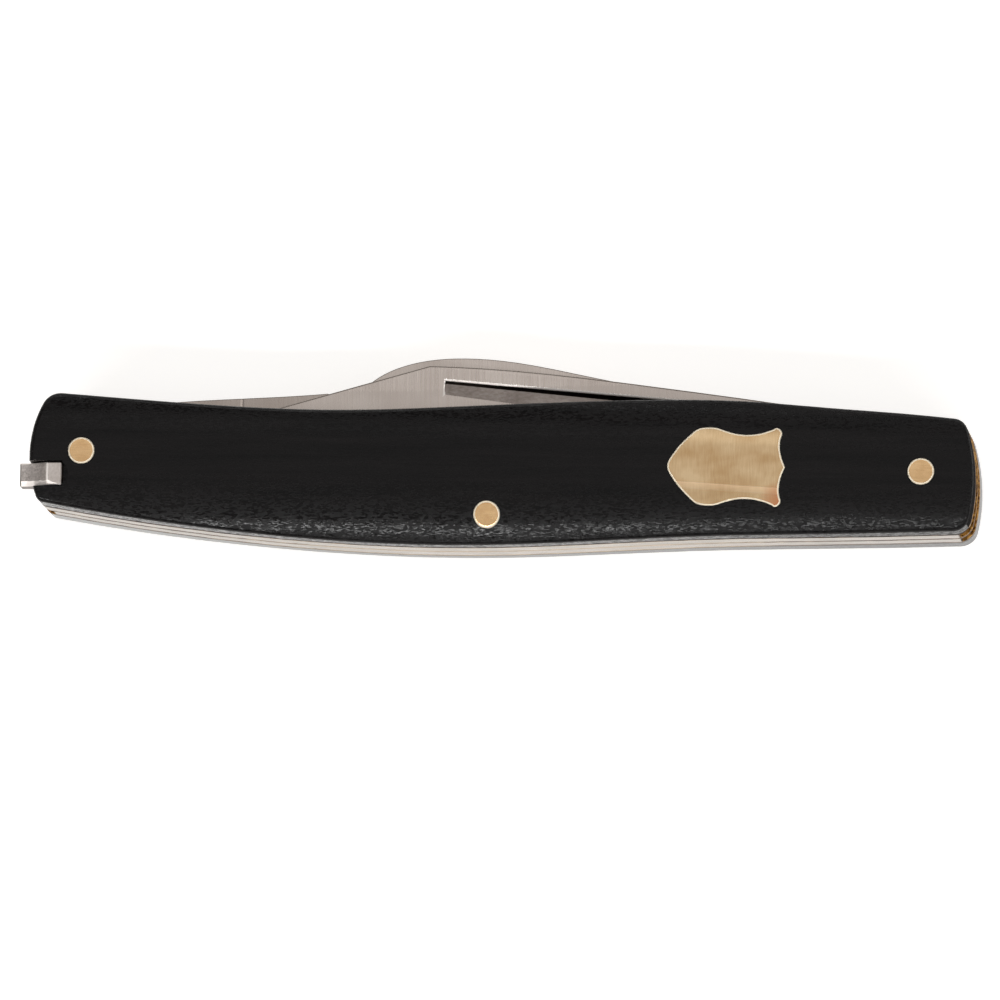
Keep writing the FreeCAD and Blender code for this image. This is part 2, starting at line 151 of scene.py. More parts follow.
def black_wood(name, rough, spread, depth_mm, shine):
    """Black wood: its mean roughness, how much that varies, the sanding's depth and the oil's shine."""
    made, tree, place = start_material(name)
    lines = add(tree, "ShaderNodeMapping", {"Vector": place, "Scale": repeats(*GROWTH_MM)})
    growth = add(tree, "ShaderNodeTexNoise", {"Vector": lines.outputs[0], "Scale": 1, "Detail": 3})
    colour = add(tree, "ShaderNodeMix", {
        0: growth.outputs["Fac"], 6: linear("#000000"), 7: linear("#161313")}, data_type="RGBA")
    specks = add(tree, "ShaderNodeMapping", {"Vector": place, "Scale": repeats(*SANDING_MM)})
    sanding = add(tree, "ShaderNodeTexNoise", {"Vector": specks.outputs[0], "Scale": 1, "Detail": 1})
    marks = add(tree, "ShaderNodeMapping", {"Vector": place, "Scale": repeats(*GLINT_MM)})
    glints = add(tree, "ShaderNodeTexVoronoi", {"Vector": marks.outputs[0], "Scale": 1})
    gloss = add(tree, "ShaderNodeMapRange", {
        "Value": glints.outputs["Color"], "From Min": GLINT_FROM, "From Max": GLINT_TO,
        "To Min": rough - spread, "To Max": rough + spread})
    parts = add(tree, "ShaderNodeSeparateXYZ", {0: place})
    pivot_end = add(tree, "ShaderNodeMapRange", {
        "Value": parts.outputs["X"], "From Min": HANDLED_FROM_X, "From Max": HANDLED_TO_X})
    worn = add(tree, "ShaderNodeMath", {0: pivot_end.outputs[0], 1: DULLED_BY, 2: gloss.outputs[0]},
               operation="MULTIPLY_ADD")
    bump = add(tree, "ShaderNodeBump", {
        "Height": sanding.outputs["Fac"], "Strength": 1.0, "Distance": depth_mm * MM})
    surface = add(tree, "ShaderNodeBsdfPrincipled", {
        "Base Color": colour.outputs[2], "Roughness": worn.outputs[0], "Normal": bump.outputs[0],
        "Specular IOR Level": shine})
    add(tree, "ShaderNodeOutputMaterial", {"Surface": surface.outputs[0]})
    return made


# Nearly black, with a sheen of fine glints where it rolls towards the light
finishes = {"scale": black_wood("oiled_ebony", rough=0.27, spread=0.18, depth_mm=0.01, shine=0.185)}
# Drinks the oil, so it looks matt
end_grain = black_wood("ebony_end_grain", rough=0.7, spread=0.05, depth_mm=0.02, shine=0.02)
# Polished together with the springs, so the rear scale's edge looks glossy
polished_wood = black_wood("polished_ebony_edge", rough=0.12, spread=0.03, depth_mm=0.004, shine=0.36)
print("woods:", ", ".join(made.name for made in (finishes["scale"], end_grain, polished_wood)))

# %% [markdown]
# ## Steel and brass
# All the metals are plain alloys whose look comes from how they were worked. A blade is ground
# across its width on a belt, so its lines run from spine to edge. A spring is polished along the
# back of the closed knife, together with the liners' edges, and the brass pins are filed flush. So
# one function makes a worked metal from its colour, its roughness and the size of its lines along
# X, Y and Z, and a second one makes the plain metal of faces that are too small to show lines.

# %% Worked metals
LINES_FROM, LINES_TO = 0.3, 0.7
TONE_FROM, TONE_TO = 0.12, 0.4
LINE_RELIEF = 0.6


def worked_metal(name, colour, dull, lines_mm, rough, spread, depth_mm, blotch_mm=6.0):
    """A metal with fine tool lines: their size in mm, the roughness about its mean, and their depth."""
    made, tree, place = start_material(name)
    along = add(tree, "ShaderNodeMapping", {"Vector": place, "Scale": repeats(*lines_mm)})
    lines = add(tree, "ShaderNodeTexNoise", {
        "Vector": along.outputs[0], "Scale": 1, "Detail": 4, "Roughness": 0.6})
    wide = add(tree, "ShaderNodeMapping", {"Vector": place, "Scale": repeats(*[blotch_mm] * 3)})
    blotch = add(tree, "ShaderNodeTexNoise", {"Vector": wide.outputs[0], "Scale": 1, "Detail": 2})
    blend = add(tree, "ShaderNodeMath", {0: lines.outputs["Fac"], 1: blotch.outputs["Fac"]},
                operation="MULTIPLY")
    share = add(tree, "ShaderNodeMapRange", {
        "Value": blend.outputs[0], "From Min": TONE_FROM, "From Max": TONE_TO})
    tone = add(tree, "ShaderNodeMix", {0: share.outputs[0], 6: linear(dull), 7: linear(colour)},
               data_type="RGBA")
    gloss = add(tree, "ShaderNodeMapRange", {
        "Value": lines.outputs["Fac"], "From Min": LINES_FROM, "From Max": LINES_TO,
        "To Min": rough - spread, "To Max": rough + spread})
    bump = add(tree, "ShaderNodeBump", {
        "Height": lines.outputs["Fac"], "Strength": LINE_RELIEF, "Distance": depth_mm * MM})
    surface = add(tree, "ShaderNodeBsdfPrincipled", {
        "Base Color": tone.outputs[2], "Metallic": 1.0, "Roughness": gloss.outputs[0],
        "Normal": bump.outputs[0]})
    add(tree, "ShaderNodeOutputMaterial", {"Surface": surface.outputs[0]})
    return made


# Grind lines are about 0.05 mm apart, drawn at 0.14 mm so that they show as a fine upright grain
GRIND_MM = (0.14, 14, 14)
finishes["blade"] = worked_metal("belt_ground_steel", "#e4d8cf", "#cfc2b9", GRIND_MM,
                                 rough=0.28, spread=0.05, depth_mm=0.004)
# The pen blade's steel is painted a little darker than the other blades', as shade
shaded_pen_steel = worked_metal("ground_steel_painted_shade", "#c6bab1", "#b0a39a", GRIND_MM,
                         rough=0.28, spread=0.05, depth_mm=0.004)
# The nick is cut before hardening and only brushed on its floor, and the floor is painted greyer than the
# blade as shade in the hollow
shaded_nick_steel = worked_metal("brushed_nick_steel_painted_shade", "#aea39c", "#857a73", (0.5, 0.22, 0.22),
                          rough=0.34, spread=0.06, depth_mm=0.006)
# Long soft streaks along the back. They are finer on the real one, and drawn at 0.25 mm to show
finishes["spring"] = worked_metal("polished_spring_steel", "#b6aca2", "#958b80", (12, 0.25, 0.25),
                                  rough=0.26, spread=0.08, depth_mm=0.006)
print("ground, brushed and polished:",
      ", ".join(made.name for made in (finishes["blade"], shaded_pen_steel, shaded_nick_steel, finishes["spring"])))

# %% Filed metals
# File marks about 0.2 mm apart, which give a bright but uneven face
finishes["pick"] = worked_metal("filed_steel", "#f4ebe5", "#cfc4bc", (0.22, 0.34, 0.34),
                                rough=0.34, spread=0.06, depth_mm=0.03)
# The pick's scoop is filed by hand and left so, and looks grey and coarse
scoop_steel = worked_metal("hand_filed_steel", "#e4dbd5", "#a0958e", (0.24, 0.24, 0.24),
                           rough=0.42, spread=0.06, depth_mm=0.05)
# Filed flush and then rubbed, so a pin's face is warm and smooth with faint lines
finishes["pin"] = worked_metal("filed_brass", "#f8cf9b", "#e8bc87", (1.2, 0.12, 0.12),
                               rough=0.17, spread=0.04, depth_mm=0.004, blotch_mm=0.8)
print("filed:", ", ".join(made.name for made in (finishes["pick"], scoop_steel, finishes["pin"])))

# %% Plain metals


def plain_metal(name, colour, rough):
    """A metal whose lines are too fine to see: one colour and one roughness all over."""
    made, tree, _ = start_material(name)
    surface = add(tree, "ShaderNodeBsdfPrincipled", {
        "Base Color": linear(colour), "Metallic": 1.0, "Roughness": rough})
    add(tree, "ShaderNodeOutputMaterial", {"Surface": surface.outputs[0]})
    return made


# The bevel below the pick's scoop is only broken on a stone, so it looks bright and even
bevel_steel = plain_metal("stoned_steel_bevel", "#f8f0ea", rough=0.55)
# Never polished after hardening, and its grey is darkened further as painted shade, so a spine shows as a
# thin dark line
shade_painted_steel = plain_metal("grey_steel_painted_shade", "#6f665f", rough=0.4)
# The nick's wall keeps a black scale from hardening, and its near-black colour is also painted shade: it
# draws the dark line of the long pull
nick_wall_shade_steel = plain_metal("fire_scaled_steel_painted_shade", "#2b2521", rough=0.5)
# Broken by a stone or a file: a rough narrow edge takes light from all sides, and its near-white colour is
# a painted highlight that makes it look bright
highlight_edge_steel = plain_metal("stoned_steel_edge_painted_highlight", "#fff8f2", rough=0.6)
highlight_edge_brass = plain_metal("filed_brass_edge_painted_highlight", "#fff5e2", rough=0.75)
print("plain:", ", ".join(
    made.name for made in (bevel_steel, shade_painted_steel, nick_wall_shade_steel, highlight_edge_steel, highlight_edge_brass)))

# %% [markdown]
# ## Tarnish and grime
# Brass browns where nobody rubs it, and polish leaves dark grime in every seam. Both come in patches,
# and near the middle of the handle the hand rubs them off again. Painting a mask by hand would fit one
# mesh only, so noise makes the patches, and the distance from the handle's middle clears them.

# %% Patches of tarnish and grime
RUBBED_X, DULL_X = 12 * MM, 34 * MM


def mottled(name, dark, light, size_mm, bare_from, bare_to, metallic, rough, rubbed=0.0, shine=0.5):
    """Patches of a dark layer: their size, what noise leaves bare, and what the hand rubs off more."""
    made, tree, place = start_material(name)
    wide = add(tree, "ShaderNodeMapping", {"Vector": place, "Scale": repeats(*size_mm)})
    patch = add(tree, "ShaderNodeTexNoise", {
        "Vector": wide.outputs[0], "Scale": 1, "Detail": 4, "Roughness": 0.65})
    parts = add(tree, "ShaderNodeSeparateXYZ", {0: place})
    from_middle = add(tree, "ShaderNodeMath", {0: parts.outputs["X"]}, operation="ABSOLUTE")
    wear = add(tree, "ShaderNodeMapRange", {
        "Value": from_middle.outputs[0], "From Min": RUBBED_X, "From Max": DULL_X,
        "To Min": rubbed, "To Max": 0.0})
    cleaner = add(tree, "ShaderNodeMath", {0: patch.outputs["Fac"], 1: wear.outputs[0]}, operation="ADD")
    share = add(tree, "ShaderNodeMapRange", {
        "Value": cleaner.outputs[0], "From Min": bare_from, "From Max": bare_to})
    tone = add(tree, "ShaderNodeMix", {0: share.outputs[0], 6: linear(dark), 7: linear(light)},
               data_type="RGBA")
    surface = add(tree, "ShaderNodeBsdfPrincipled", {
        "Base Color": tone.outputs[2], "Metallic": metallic, "Roughness": rough,
        "Specular IOR Level": shine})
    add(tree, "ShaderNodeOutputMaterial", {"Surface": surface.outputs[0]})
    return made


# The liners' edges are brown towards the ends and rubbed pale near the middle
finishes["liner"] = mottled("rubbed_brass_edge", "#432c15", "#a8916f", (3.2, 0.5, 0.5),
                            bare_from=0.42, bare_to=0.72, metallic=1.0, rough=0.36, rubbed=0.3)
# The liners' broad faces were never polished, and keep a grainy brown tarnish
inner_brass = mottled("tarnished_brass", "#583a1b", "#cd9b52", (0.45, 0.45, 0.45),
                      bare_from=0.4, bare_to=0.64, metallic=1.0, rough=0.45)
# Grime is no metal and hardly shines, so it stays dark where the metals beside it mirror the floor. On the
# front liner its dark colour is also painted shade under the scale's edge
grime_and_shade = mottled("polishing_grime_and_painted_shade", "#1c130b", "#6b5138", (1.4, 0.7, 0.7),
                bare_from=0.5, bare_to=0.7, metallic=0.0, rough=0.6, shine=0.05)
# Rubbed thin by the hand, so it shows as brown patches between pale ones
rubbed_grime = mottled("rubbed_polishing_grime", "#3a2614", "#d6c4b0", (3.0, 0.7, 0.7),
                       bare_from=0.5, bare_to=0.72, metallic=0.0, rough=0.5, rubbed=0.3, shine=0.1)
print("patched:", ", ".join(made.name for made in (finishes["liner"], inner_brass, grime_and_shade, rubbed_grime)))

# %% [markdown]
# ## Buffed brass for the crest
# The crest's face was buffed in two passes. They left fine scratches and a haze, a lap line where the
# passes meet, with a pale film below it that is partly polish and partly a painted highlight, and a
# reddish stain at one corner. Each mark has its own place on the crest, so this finish is measured from
# points and lines in millimetres.

# %% Buffed brass
# Scratches are about 0.03 mm wide, drawn at 0.16 mm so that they show
SCRATCH_MM = (0.16, 1.6, 1.6)
HAZE_MM = (3.4, 2.2, 2.2)
SCRATCH_SHARE = 0.3
POLISH_FROM, POLISH_TO = 0.35, 0.65
STAIN_AT = Vector((28.6, -3.6, 12.7)) * MM
STAIN_FULL, STAIN_END = 0.4 * MM, 2.6 * MM
STAIN_SHARE = 0.85
LAP_FROM, LAP_TO = Vector((17.98, -1.24, 0)) * MM, Vector((26.98, -1.86, 0)) * MM
LAP_EDGE = 0.04 * MM
FILM_FROM, FILM_END = 0.05 * MM, 0.8 * MM
FILM_HIGHLIGHT_SHARE = 0.4
BUFFED_ROUGH = 0.2


def buffed_crest():
    """Brass with scratches and haze, a lap line that fades below, and a stain at one corner."""
    made, tree, place = start_material("buffed_brass")
    along = add(tree, "ShaderNodeMapping", {"Vector": place, "Scale": repeats(*SCRATCH_MM)})
    lines = add(tree, "ShaderNodeTexNoise", {"Vector": along.outputs[0], "Scale": 1, "Detail": 3})
    wide = add(tree, "ShaderNodeMapping", {"Vector": place, "Scale": repeats(*HAZE_MM)})
    haze = add(tree, "ShaderNodeTexNoise", {"Vector": wide.outputs[0], "Scale": 1, "Detail": 2})
    polish = add(tree, "ShaderNodeMix", {
        0: SCRATCH_SHARE, 2: haze.outputs["Fac"], 3: lines.outputs["Fac"]})
    shine = add(tree, "ShaderNodeMapRange", {
        "Value": polish.outputs[0], "From Min": POLISH_FROM, "From Max": POLISH_TO})
    brass = add(tree, "ShaderNodeMix", {
        0: shine.outputs[0], 6: linear("#d3ad7d"), 7: linear("#efd0a4")}, data_type="RGBA")
    corner = add(tree, "ShaderNodeVectorMath", {0: place, 1: STAIN_AT}, operation="DISTANCE")
    stain = add(tree, "ShaderNodeMapRange", {
        "Value": corner.outputs["Value"], "From Min": STAIN_FULL, "From Max": STAIN_END,
        "To Min": STAIN_SHARE, "To Max": 0.0})
    lap_side = Vector((LAP_TO.y - LAP_FROM.y, LAP_FROM.x - LAP_TO.x, 0)).normalized()
    offset = add(tree, "ShaderNodeVectorMath", {0: place, 1: LAP_FROM}, operation="SUBTRACT")
    below = add(tree, "ShaderNodeVectorMath", {0: offset.outputs[0], 1: lap_side},
                operation="DOT_PRODUCT")
    start = add(tree, "ShaderNodeMapRange", {
        "Value": below.outputs["Value"], "From Min": -LAP_EDGE, "From Max": LAP_EDGE})
    fade = add(tree, "ShaderNodeMapRange", {
        "Value": below.outputs["Value"], "From Min": FILM_FROM, "From Max": FILM_END,
        "To Min": FILM_HIGHLIGHT_SHARE, "To Max": 0.0})
    lap_and_highlight = add(tree, "ShaderNodeMath", {0: start.outputs[0], 1: fade.outputs[0]}, operation="MULTIPLY")
    # The pale film below the lap line is partly a painted highlight
    film_and_highlight = add(tree, "ShaderNodeMix", {
        0: lap_and_highlight.outputs[0], 6: brass.outputs[2], 7: linear("#f6d9ba")}, data_type="RGBA")
    tone = add(tree, "ShaderNodeMix", {
        0: stain.outputs[0], 6: film_and_highlight.outputs[2], 7: linear("#dd8a5c")}, data_type="RGBA")
    rough = add(tree, "ShaderNodeMath", {0: lap_and_highlight.outputs[0], 1: BUFFED_ROUGH}, operation="ADD")
    surface = add(tree, "ShaderNodeBsdfPrincipled", {
        "Base Color": tone.outputs[2], "Metallic": 1.0, "Roughness": rough.outputs[0]})
    add(tree, "ShaderNodeOutputMaterial", {"Surface": surface.outputs[0]})
    return made


finishes["shield"] = buffed_crest()
print("finishes by slot:", ", ".join(f"{slot} {made.name}" for slot, made in finishes.items()))

# %% [markdown]
# ## Broken edges
# No edge of a finished knife is truly sharp apart from the blades' own: each is broken by a few
# strokes of a stone. The round is narrow and rough and takes light from all sides; on the blades and
# the pick its near-white colour is a painted highlight, which draws the bright line along a nail nick.
# The CAD solids are sharp there, so the blades, the pick, the springs and the liners get copies with
# a small real bevel. A bevel modifier would guess how the faces beside it are lit, and it guesses
# wrong on long thin CAD triangles. So the bevel is cut on an edit mesh that carries the CAD's own face
# directions along, and only the new rounds get new ones.

# %% Copies that carry the CAD's face directions
WELD = 0.0005 * MM


def cad_shape(node):
    """A CAD node as a merged edit mesh, and the layer that carries its own face directions."""
    source = frame["nodes"][node].data
    shape = bmesh.new()
    shape.from_mesh(source)
    facing = shape.loops.layers.float_vector.new("facing")
    corners = (loop for face in shape.faces for loop in face.loops)
    for loop, normal in zip(corners, source.corner_normals):
        loop[facing] = normal.vector
    bmesh.ops.remove_doubles(shape, verts=shape.verts, dist=WELD)
    return shape, facing


def carried_piece(shape, facing, name, *used):
    """An edit mesh as an object with its finishes, lit by the directions that it carries."""
    for face in shape.faces:
        face.smooth = True
    mesh = bpy.data.meshes.new(name)
    shape.to_mesh(mesh)
    carried = [loop[facing].normalized() for face in shape.faces for loop in face.loops]
    mesh.normals_split_custom_set(carried)
    shape.free()
    for finish in used:
        mesh.materials.append(finish)
    return new_object(name, mesh)


def put_on(made, *nodes):
    """Lets a piece stand for its CAD nodes: it rides on their body, and the nodes are hidden."""
    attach(made, body_of[nodes[0]])
    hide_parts(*nodes)


print("CAD points closer than", round(WELD / MM, 4), "mm are merged")

# %% Break the edges of a node
FLAT = math.radians(0.2)
CREASE = math.radians(8)
SHARP = math.radians(28)


def turn_at(edge, facing):
    """How far the surface turns at an edge, by the face directions on both of its sides."""
    if len(edge.link_loops) != 2:
        return 0
    one, other = edge.link_loops
    return max(one[facing].angle(other.link_loop_next[facing], 0),
               other[facing].angle(one.link_loop_next[facing], 0))


def eased_copy(node, width_mm, finish, rounds_finish):
    """A copy of a CAD node whose sharp edges are rounded, with the rounds' own finish."""
    shape, facing = cad_shape(node)
    for edge in shape.edges:
        edge.smooth = turn_at(edge, facing) < CREASE
    bmesh.ops.dissolve_limit(shape, angle_limit=FLAT, verts=shape.verts, edges=shape.edges,
                             delimit={"SHARP"})
    sharp = [edge for edge in shape.edges if turn_at(edge, facing) > SHARP and edge.is_convex]
    bevelled = bmesh.ops.bevel(shape, geom=sharp, offset=width_mm * MM, offset_type="OFFSET", segments=2,
                               profile=0.5, affect="EDGES", clamp_overlap=False, material=1)
    rounds = set(bevelled["faces"])
    shape.normal_update()
    for face in rounds:
        for loop in face.loops:
            beside = [other[facing] for other in loop.vert.link_loops if other.face not in rounds]
            loop[facing] = sum(beside, Vector()) if beside else loop.vert.normal
    return carried_piece(shape, facing, node + "_eased", finish, rounds_finish)


print("outer edges that turn by more than", round(math.degrees(SHARP)), "degrees will be broken")

# %% [markdown]
# ## The crown
# Both scales are ground to a crown after the pins and the crest are set, so all of them share one
# rule: flat along the line between the two pivots, then rolling off with a round of 14 mm. On the
# front scale the roll along the back is then finished by hand, and goes further towards the main
# pivot, where the sheen is broader for it. The CAD keeps the plain crown, so this last stroke is a
# second rule, which only ever lowers the face. It doesn't reach the pins.

# %% The crown's rules
CROWN_FLAT = 2.2 * MM
CROWN_R = 14.0 * MM
ROLL_FROM_X, ROLL_TO_X = 0, 36 * MM
ROLL_Y = -1.5 * MM
ROLL_CURVE = 18
top_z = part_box("front_scale")[1].z


def centre_of(node):
    """The middle of a node's box."""
    low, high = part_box(node)
    return (low + high) / 2


pivot = centre_of("main_pivot_pin")
pivot_line = (pivot - centre_of("small_pivot_pin")).to_2d().normalized()
across = Vector((-pivot_line.y, pivot_line.x, 0))


def crown(place):
    """The height of the crowned front face at a place, before the roll."""
    over = max(abs((place - pivot).dot(across)) - CROWN_FLAT, 0)
    return top_z - (CROWN_R - math.sqrt(CROWN_R ** 2 - over ** 2))


def roll_drop(place):
    """How far the hand-finished roll lowers the front face at a place."""
    share = min(max((place.x - ROLL_FROM_X) / (ROLL_TO_X - ROLL_FROM_X), 0), 1)
    return ROLL_CURVE * share * max(ROLL_Y - place.y, 0) ** 2


print("the crown drops", round((top_z - crown(centre_of("spring_pin"))) / MM, 2), "mm at the spring pin")

# %% [markdown]
# ## Scales
# The rear scale keeps its CAD shape, because it has only the plain crown. So do the two pins on the
# crest's back, which never show. The rear scale's edge is bright, because it is polished with the
# springs. The front scale gets a copy for its hand-finished roll. Its long CAD triangles can't bend,
# so they are first cut into a grid where the roll lies. Then each point of the face sinks by the
# roll's rule, and points further down sink less, so that the underside stays on its liner. The face's
# directions lean with it, and all others stay the CAD's own. Last, its two ends show end grain.

# %% Finish what keeps its shape
WALL_Z = 0.3


def paint(piece, finish, chosen):
    """Gives the chosen faces of a piece one more finish."""
    piece.data.materials.append(finish)
    for face in piece.data.polygons:
        if chosen(face):
            face.material_index = len(piece.data.materials) - 1


for node in ("rear_scale", "shield_pins"):
    kept = frame["nodes"][node]
    kept.data.materials.clear()
    kept.data.materials.append(finishes[slot_of[node]])
    print(node, "keeps its shape and takes", finishes[slot_of[node]].name)
paint(frame["nodes"]["rear_scale"], polished_wood, lambda face: abs(face.normal.z) < WALL_Z)

# %% Roll the front scale
END_FACING = 0.8
GRID_X, GRID_Y = 3 * MM, 0.5 * MM
NUDGE = 0.01 * MM
SNAP = 0.0001 * MM


def cut_through(shape, point, direction):
    """Cuts every face of an edit mesh that crosses a plane."""
    bmesh.ops.bisect_plane(shape, geom=[*shape.verts, *shape.edges, *shape.faces], dist=SNAP,
                           plane_co=point, plane_no=direction)


def spaced(start, stop, step):
    """Values from start to stop, a step apart."""
    return [start + step * i for i in range(int((stop - start) / step) + 1)]


shape, facing = cad_shape("front_scale")
low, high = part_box("front_scale")
for x in spaced(ROLL_FROM_X, high.x, GRID_X):
    cut_through(shape, (x, 0, 0), (1, 0, 0))
for y in spaced(low.y, ROLL_Y, GRID_Y):
    cut_through(shape, (0, y, 0), (0, 1, 0))
for loop in (loop for face in shape.faces for loop in face.loops):
    spot, way = loop.vert.co, loop[facing]
    if way.z > WALL_Z:
        lean_x, lean_y = [(roll_drop(spot + step) - roll_drop(spot)) / NUDGE
                          for step in (Vector((NUDGE, 0, 0)), Vector((0, NUDGE, 0)))]
        loop[facing] = (way.x / way.z + lean_x, way.y / way.z + lean_y, 1)
deepest = max(roll_drop(vert.co) for vert in shape.verts)
for vert in shape.verts:
    vert.co.z -= roll_drop(vert.co) * (vert.co.z - low.z) / (crown(vert.co) - low.z)
rolled = carried_piece(shape, facing, "front_scale_rolled", finishes["scale"])
paint(rolled, end_grain, lambda face: abs(face.normal.x) > END_FACING and abs(face.normal.z) < WALL_Z)
put_on(rolled, "front_scale")
print("front_scale has", len(rolled.data.polygons), "faces, and its roll sinks by up to",
      round(deepest / MM, 2), "mm")

# %% [markdown]
# ## Blades and pick
# A blade's sides are ground on a belt, but its spine isn't polished after hardening and is painted dark as
# shade.
# The long pull is cut before hardening: its wall keeps a black scale and is painted near black as shade,
# and its floor is only brushed and painted darker as shade in the hollow.
# The pick is filed by hand, with a grey scoop for the fingernail and a brighter bevel below it, and its
# head's lower and end walls take the same painted shade as a spine. All these faces belong to one solid,
# so they are told apart by where they face.

# %% Blades and pick
EASE_MM = {"clip_blade": 0.13, "sheepfoot_blade": 0.08, "pen_blade": 0.08, "splinter_pick": 0.13}
UPPER_Z = 0.2
SPINE_Y = 0.25
FLOOR_Y = 0.08
WALL_Y = -0.35
SIDE_Y = -0.7
SCOOP_X = 0.02
BEVEL_Y = -0.12


def upper_faces(piece):
    """The faces of a piece's first finish that look up."""
    return [face for face in piece.data.polygons if face.material_index == 0 and face.normal.z > UPPER_Z]


for node, width in EASE_MM.items():
    finish = shaded_pen_steel if node == "pen_blade" else finishes[slot_of[node]]
    piece = eased_copy(node, width, finish, highlight_edge_steel)
    if node == "splinter_pick":
        upper = upper_faces(piece)
        paint(piece, scoop_steel, lambda face: face in upper and abs(face.normal.x) > SCOOP_X)
        paint(piece, bevel_steel, lambda face: face in upper and face.normal.y < BEVEL_Y)
        head_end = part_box(node)[0].x + 2 * width * MM
        # The head's lower and end walls are painted dark as shade
        paint(piece, shade_painted_steel, lambda face: face not in upper and
              (face.center.x < head_end and face.normal.x < WALL_Y or face.normal.y < SIDE_Y))
    if slot_of[node] == "blade":
        paint(piece, shade_painted_steel, lambda face: face.normal.y > SPINE_Y)
    if node == "clip_blade":
        ground = upper_faces(piece)
        paint(piece, shaded_nick_steel, lambda face: face in ground and face.normal.y > FLOOR_Y)
        paint(piece, nick_wall_shade_steel, lambda face: face in ground and face.normal.y < WALL_Y)
    put_on(piece, node)
    print(node, "has", len(piece.data.polygons), "faces")

# %% [markdown]
# ## Liners and springs
# The back of the closed knife shows the layers edge on: brass, steel, brass, steel, brass. They are
# polished as one block, so each seam is only a hairline, eased by the buffing wheel and packed with
# dark polishing grime. Here the rounds take the grime, which the hand has rubbed off again near the
# middle. The front liner's edge lies close under its scale and is covered whole in dark grime, which
# is also painted shade there. The liners' broad faces were never polished and keep their brown tarnish.

# %% Layers with their seams
SEAM_MM = 0.11
FACING_Z = 0.9
for node in ("front_liner", "centre_liner", "rear_liner", "front_spring", "rear_spring"):
    in_scale_shade = node == "front_liner"
    finish = grime_and_shade if in_scale_shade else finishes[slot_of[node]]
    layer = eased_copy(node, SEAM_MM, finish, grime_and_shade if in_scale_shade else rubbed_grime)
    if slot_of[node] == "liner":
        paint(layer, inner_brass, lambda face: abs(face.normal.z) > FACING_Z or face.normal.x > END_FACING)
    put_on(layer, node)
    print(node, "has", len(layer.data.polygons), "faces")

# %% [markdown]
# ## Pins
# A pin is a brass rod, cut long, peened into the scales and filed flush. Its end is nearly flat, in
# the plane that touches the crown at its middle. A rough broken rim, painted near white as a
# highlight, shines round it, and a hairline gap parts it from the wood. The three pins differ only in
# their place, so a Geometry Nodes tree makes one rod of rings, sets it on the three centres and then moves
# both ends into that plane.

# %% Pin centres and sizes
PINNED = ("main_pivot_pin", "small_pivot_pin", "spring_pin")
PIN_GAP = 0.05 * MM
mid_z = top_z / 2
PIN_INPUTS = {
    "Radius": ("NodeSocketFloat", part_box("main_pivot_pin")[1].x - pivot.x - PIN_GAP),
    "Sides": ("NodeSocketInt", 72),
    "Rings": ("NodeSocketInt", 16),
    "Rim": ("NodeSocketFloat", 0.17 * MM),
    "Rim slope": ("NodeSocketFloat", 0.3),
    "Dome": ("NodeSocketFloat", 5.0),
    "Finish": ("NodeSocketMaterial", finishes["pin"]),
    "Rim highlight finish": ("NodeSocketMaterial", highlight_edge_brass),
}
centres = bpy.data.meshes.new("pin_centres")
centres.from_pydata([(centre_of(node).x, centre_of(node).y, mid_z) for node in PINNED], [], [])
pins = new_object("flush_pins", centres)
tree = bpy.data.node_groups.new("flush_pins", "GeometryNodeTree")
tree.interface.new_socket("Centres", in_out="INPUT", socket_type="NodeSocketGeometry")
tree.interface.new_socket("Geometry", in_out="OUTPUT", socket_type="NodeSocketGeometry")
for name, (kind, _) in PIN_INPUTS.items():
    tree.interface.new_socket(name, in_out="INPUT", socket_type=kind)
print("pins of radius", round(PIN_INPUTS["Radius"][1] / MM, 2), "mm on", len(PINNED), "centres")

# %% A rod of rings on each centre
given = add(tree, "NodeGroupInput").outputs
rod = add(tree, "GeometryNodeMeshCylinder", {
    "Vertices": given["Sides"], "Fill Segments": given["Rings"], "Radius": given["Radius"],
    "Depth": MM}, fill_type="TRIANGLE_FAN")
spot = add(tree, "GeometryNodeInputPosition")
flat_spot = add(tree, "ShaderNodeVectorMath", {0: spot.outputs[0], 1: (1, 1, 0)}, operation="MULTIPLY")
from_axis = add(tree, "ShaderNodeVectorMath", {0: flat_spot.outputs[0]}, operation="LENGTH")
ringed = add(tree, "GeometryNodeStoreNamedAttribute", {
    "Geometry": rod.outputs["Mesh"], "Name": "ring", "Value": from_axis.outputs["Value"]})
middle = add(tree, "GeometryNodeStoreNamedAttribute", {
    "Geometry": given["Centres"], "Name": "middle", "Value": spot.outputs[0]}, data_type="FLOAT_VECTOR")
set_out = add(tree, "GeometryNodeInstanceOnPoints", {
    "Points": middle.outputs[0], "Instance": ringed.outputs[0]})
solid = add(tree, "GeometryNodeRealizeInstances", {"Geometry": set_out.outputs[0]})
print("the rods take", len(tree.nodes), "nodes, and each point keeps its ring and its pin's middle")

# %% [markdown]
# ## Filing the pins flush
# The file takes a pin's end down to the scale, so the end lies in the plane that touches the crown at
# the pin's middle. Three heights typed in by hand would fit this crown only. So the nodes work out the
# slope from the crown's own rule, by how far each pin's middle lies from the line between the pivots.

# %% The plane that touches the crown


def away_from_line(where):
    """How far a place lies from the line between the pivots."""
    from_pivot = add(tree, "ShaderNodeVectorMath", {0: where, 1: pivot}, operation="SUBTRACT")
    aside = add(tree, "ShaderNodeVectorMath", {0: from_pivot.outputs[0], 1: across},
                operation="DOT_PRODUCT")
    return add(tree, "ShaderNodeMath", {0: aside.outputs["Value"]}, operation="ABSOLUTE").outputs[0]


